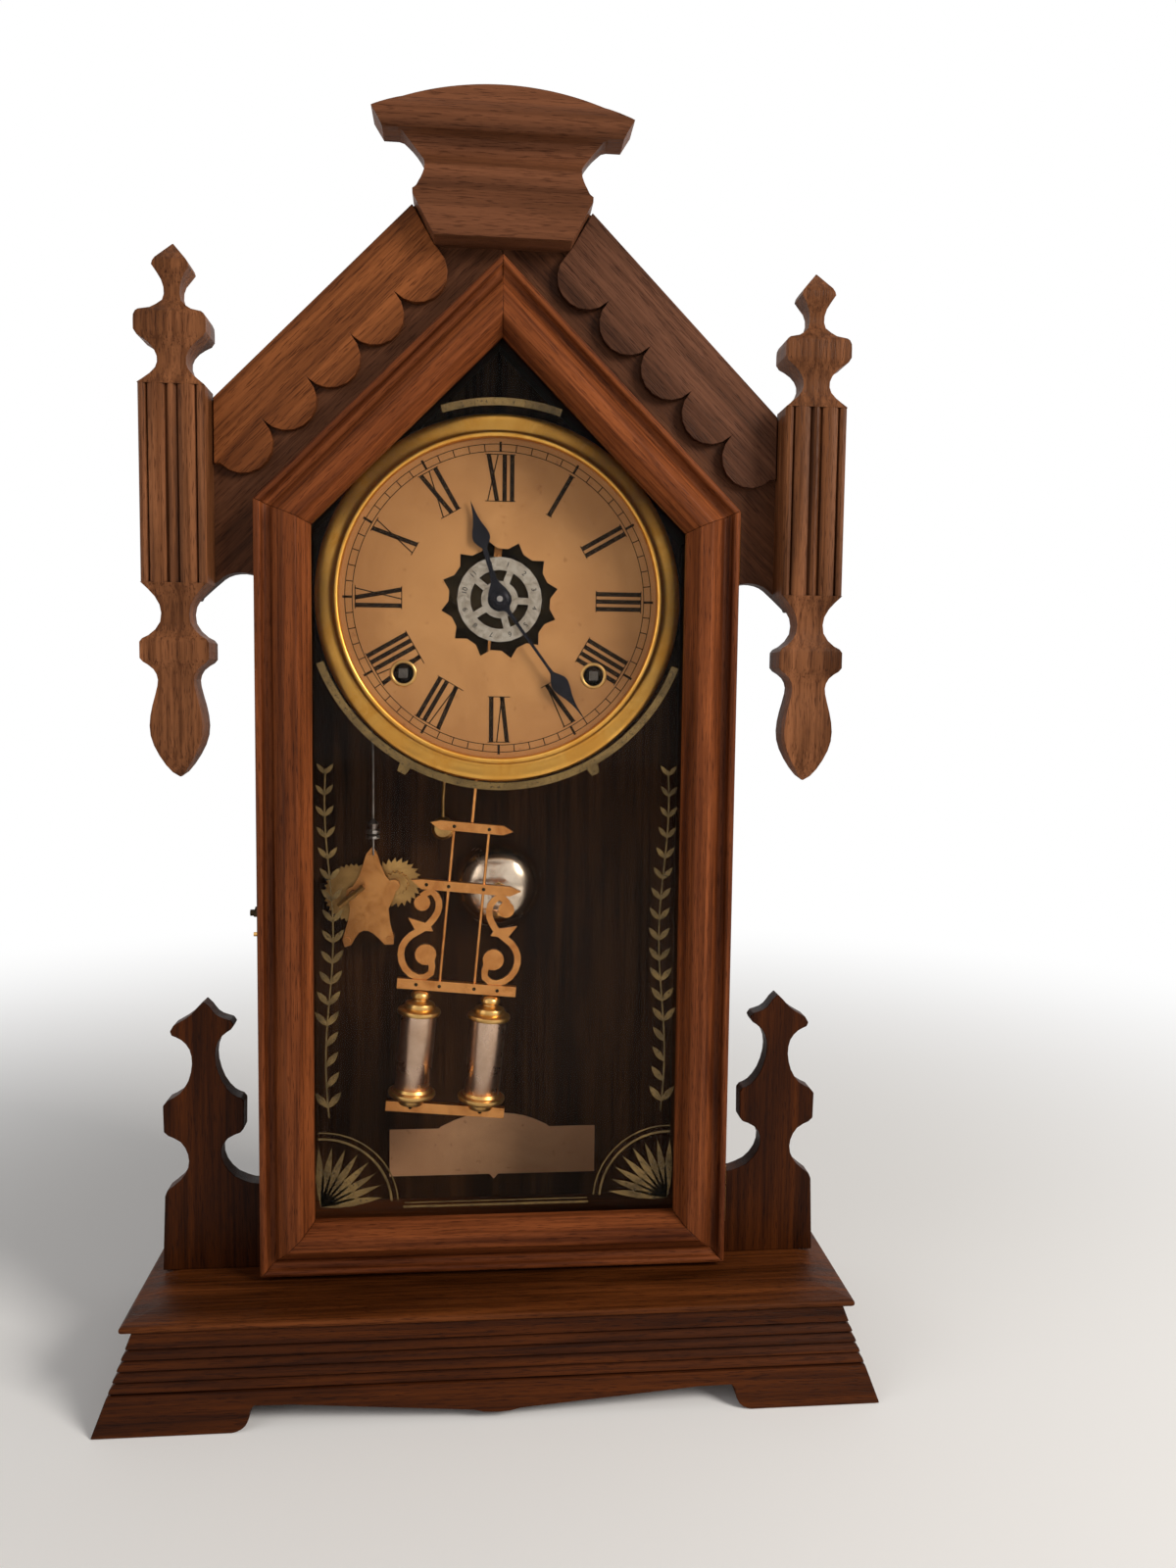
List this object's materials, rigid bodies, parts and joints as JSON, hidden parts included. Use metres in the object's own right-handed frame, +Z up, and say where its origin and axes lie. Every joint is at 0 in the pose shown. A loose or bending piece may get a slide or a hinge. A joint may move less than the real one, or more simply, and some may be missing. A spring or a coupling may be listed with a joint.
{
  "type": "shelf clock",
  "caption": "Gabled walnut shelf clock: glazed door, flared reeded base, fluted side columns, pierced wings, paper dial, striking and alarm movement, swinging bob pendulum.",
  "frame": {"origin": "middle of the base footprint, at the surface the clock stands on", "axes": "+Z up, -Y towards the viewer and the dial, +X to the right as seen from the front"},
  "size_m": [0.3024, 0.1176, 0.5102],
  "materials": {
    "walnut": "satin varnish",
    "door_walnut": "satin varnish",
    "dark_walnut": "satin varnish",
    "glass": "clear",
    "brass": "aged",
    "steel": "satin",
    "blued": "black",
    "nickel": "polished",
    "paper": "aged matt",
    "label": "aged matt"
  },
  "bodies": {
    "case": {"case_side_left": "walnut", "case_side_right": "walnut", "case_roof_left": "walnut", "case_roof_right": "walnut", "case_back_board": "walnut", "facade_left": "walnut", "facade_right": "walnut", "crest": "walnut", "column_left": "walnut", "column_right": "walnut", "bargeboard_left": "door_walnut", "bargeboard_right": "door_walnut", "base_top": "dark_walnut", "base_front_moulding": "dark_walnut", "base_side_moulding_left": "dark_walnut", "base_side_moulding_right": "dark_walnut", "wing_left": "dark_walnut", "wing_right": "dark_walnut", "hinge_upper_case_leaf": "brass", "hinge_lower_case_leaf": "brass", "bezel": "brass", "movement_front_plate": "brass", "movement_back_plate": "brass", "bell_post": "brass", "alarm_plate": "brass", "time_mainspring": "blued", "strike_mainspring": "blued", "bell": "nickel", "dial": "paper", "label": "label"},
    "door": {"door_bottom_rail": "door_walnut", "door_right_stile": "door_walnut", "door_right_gable_rail": "door_walnut", "door_left_gable_rail": "door_walnut", "door_left_stile": "door_walnut", "door_glass": "glass", "hinge_upper_door_leaf": "brass", "hinge_lower_door_leaf": "brass", "latch_pin": "brass"},
    "latch": {"latch_hook": "brass"},
    "minute": {"minute_hand": "blued", "centre_arbor": "steel"},
    "hour": {"hour_hand": "blued", "hour_wheel": "brass"},
    "minute_wheel": {"minute_wheel": "brass"},
    "alarm_disc": {"alarm_disc": "nickel"},
    "time_great_wheel": {"time_great_wheel": "steel"},
    "strike_great_wheel": {"strike_great_wheel": "steel"},
    "escape_wheel": {"escape_wheel": "brass"},
    "verge": {"verge": "steel"},
    "pendulum": {"pendulum_leader": "brass", "pendulum_yoke": "brass", "pendulum_scroll_frame": "brass", "pendulum_bottom_bar": "brass", "vial_left": "nickel", "vial_right": "nickel"},
    "strike_hammer": {"strike_hammer": "brass"},
    "alarm_winding_wheel": {"alarm_winding_wheel": "steel"},
    "alarm_strike_wheel": {"alarm_strike_wheel": "brass"},
    "alarm_trip_wire": {"alarm_trip_wire": "brass"}
  },
  "joints": [
    {"name": "door_hinge", "type": "hinge", "parent": "case", "child": "door", "pos_m": [0.097, -0.0097, 0.19], "axis": [0, 0, 1], "range_deg": [0, 87]},
    {"name": "latch_turn", "type": "hinge", "parent": "case", "child": "latch", "pos_m": [-0.0972, -0.0025, 0.182], "axis": [-1, 0, 0], "range_deg": [-35, 45]},
    {"name": "minute_hand_turn", "type": "hinge", "parent": "case", "child": "minute", "pos_m": [0, 0, 0.3176], "axis": [0, 1, 0], "continuous": true},
    {"name": "hour_hand_turn", "type": "hinge", "parent": "case", "child": "hour", "pos_m": [0, 0.003, 0.3176], "axis": [0, 1, 0], "continuous": true},
    {"name": "minute_wheel_turn", "type": "hinge", "parent": "case", "child": "minute_wheel", "pos_m": [-0.0168, 0.01, 0.3176], "axis": [0, 1, 0], "continuous": true},
    {"name": "alarm_disc_turn", "type": "hinge", "parent": "hour", "child": "alarm_disc", "pos_m": [0, 0.0045, 0.3176], "axis": [0, 1, 0], "continuous": true},
    {"name": "time_winding_turn", "type": "hinge", "parent": "case", "child": "time_great_wheel", "pos_m": [0.0397, 0.02, 0.2865], "axis": [0, 1, 0], "continuous": true},
    {"name": "strike_winding_turn", "type": "hinge", "parent": "case", "child": "strike_great_wheel", "pos_m": [-0.0397, 0.02, 0.2865], "axis": [0, 1, 0], "continuous": true},
    {"name": "escape_turn", "type": "hinge", "parent": "case", "child": "escape_wheel", "pos_m": [0, 0.02, 0.3625], "axis": [0, 1, 0], "continuous": true},
    {"name": "pendulum_swing", "type": "hinge", "parent": "case", "child": "pendulum", "pos_m": [0, 0.013, 0.345], "axis": [0, 1, 0], "range_deg": [-10.8, 0.6]},
    {"name": "verge_rock", "type": "hinge", "parent": "case", "child": "verge", "pos_m": [0, 0.02, 0.345], "axis": [0, 1, 0], "range_deg": [-10.8, 0.6]},
    {"name": "hammer_swing", "type": "hinge", "parent": "case", "child": "strike_hammer", "pos_m": [-0.008, 0.03, 0.282], "axis": [0, 1, 0], "range_deg": [-12, 0]},
    {"name": "alarm_winding_turn", "type": "hinge", "parent": "case", "child": "alarm_winding_wheel", "pos_m": [-0.0645, 0.047, 0.187], "axis": [0, 1, 0], "continuous": true},
    {"name": "alarm_strike_turn", "type": "hinge", "parent": "case", "child": "alarm_strike_wheel", "pos_m": [-0.0454, 0.049, 0.1914], "axis": [0, 1, 0], "continuous": true},
    {"name": "alarm_trip_lift", "type": "slide", "parent": "case", "child": "alarm_trip_wire", "axis": [0, 0, 1], "range_m": [0, 0.0025]}
  ],
  "couplings": [
    {"joint": "hour_hand_turn", "follows": "minute_hand_turn", "ratio": 0.083333},
    {"joint": "minute_wheel_turn", "follows": "minute_hand_turn", "ratio": -0.33333},
    {"joint": "time_winding_turn", "follows": "minute_hand_turn", "ratio": 0.083333},
    {"joint": "verge_rock", "follows": "pendulum_swing", "ratio": 1},
    {"joint": "alarm_strike_turn", "follows": "alarm_winding_turn", "ratio": -2.4}
  ]
}
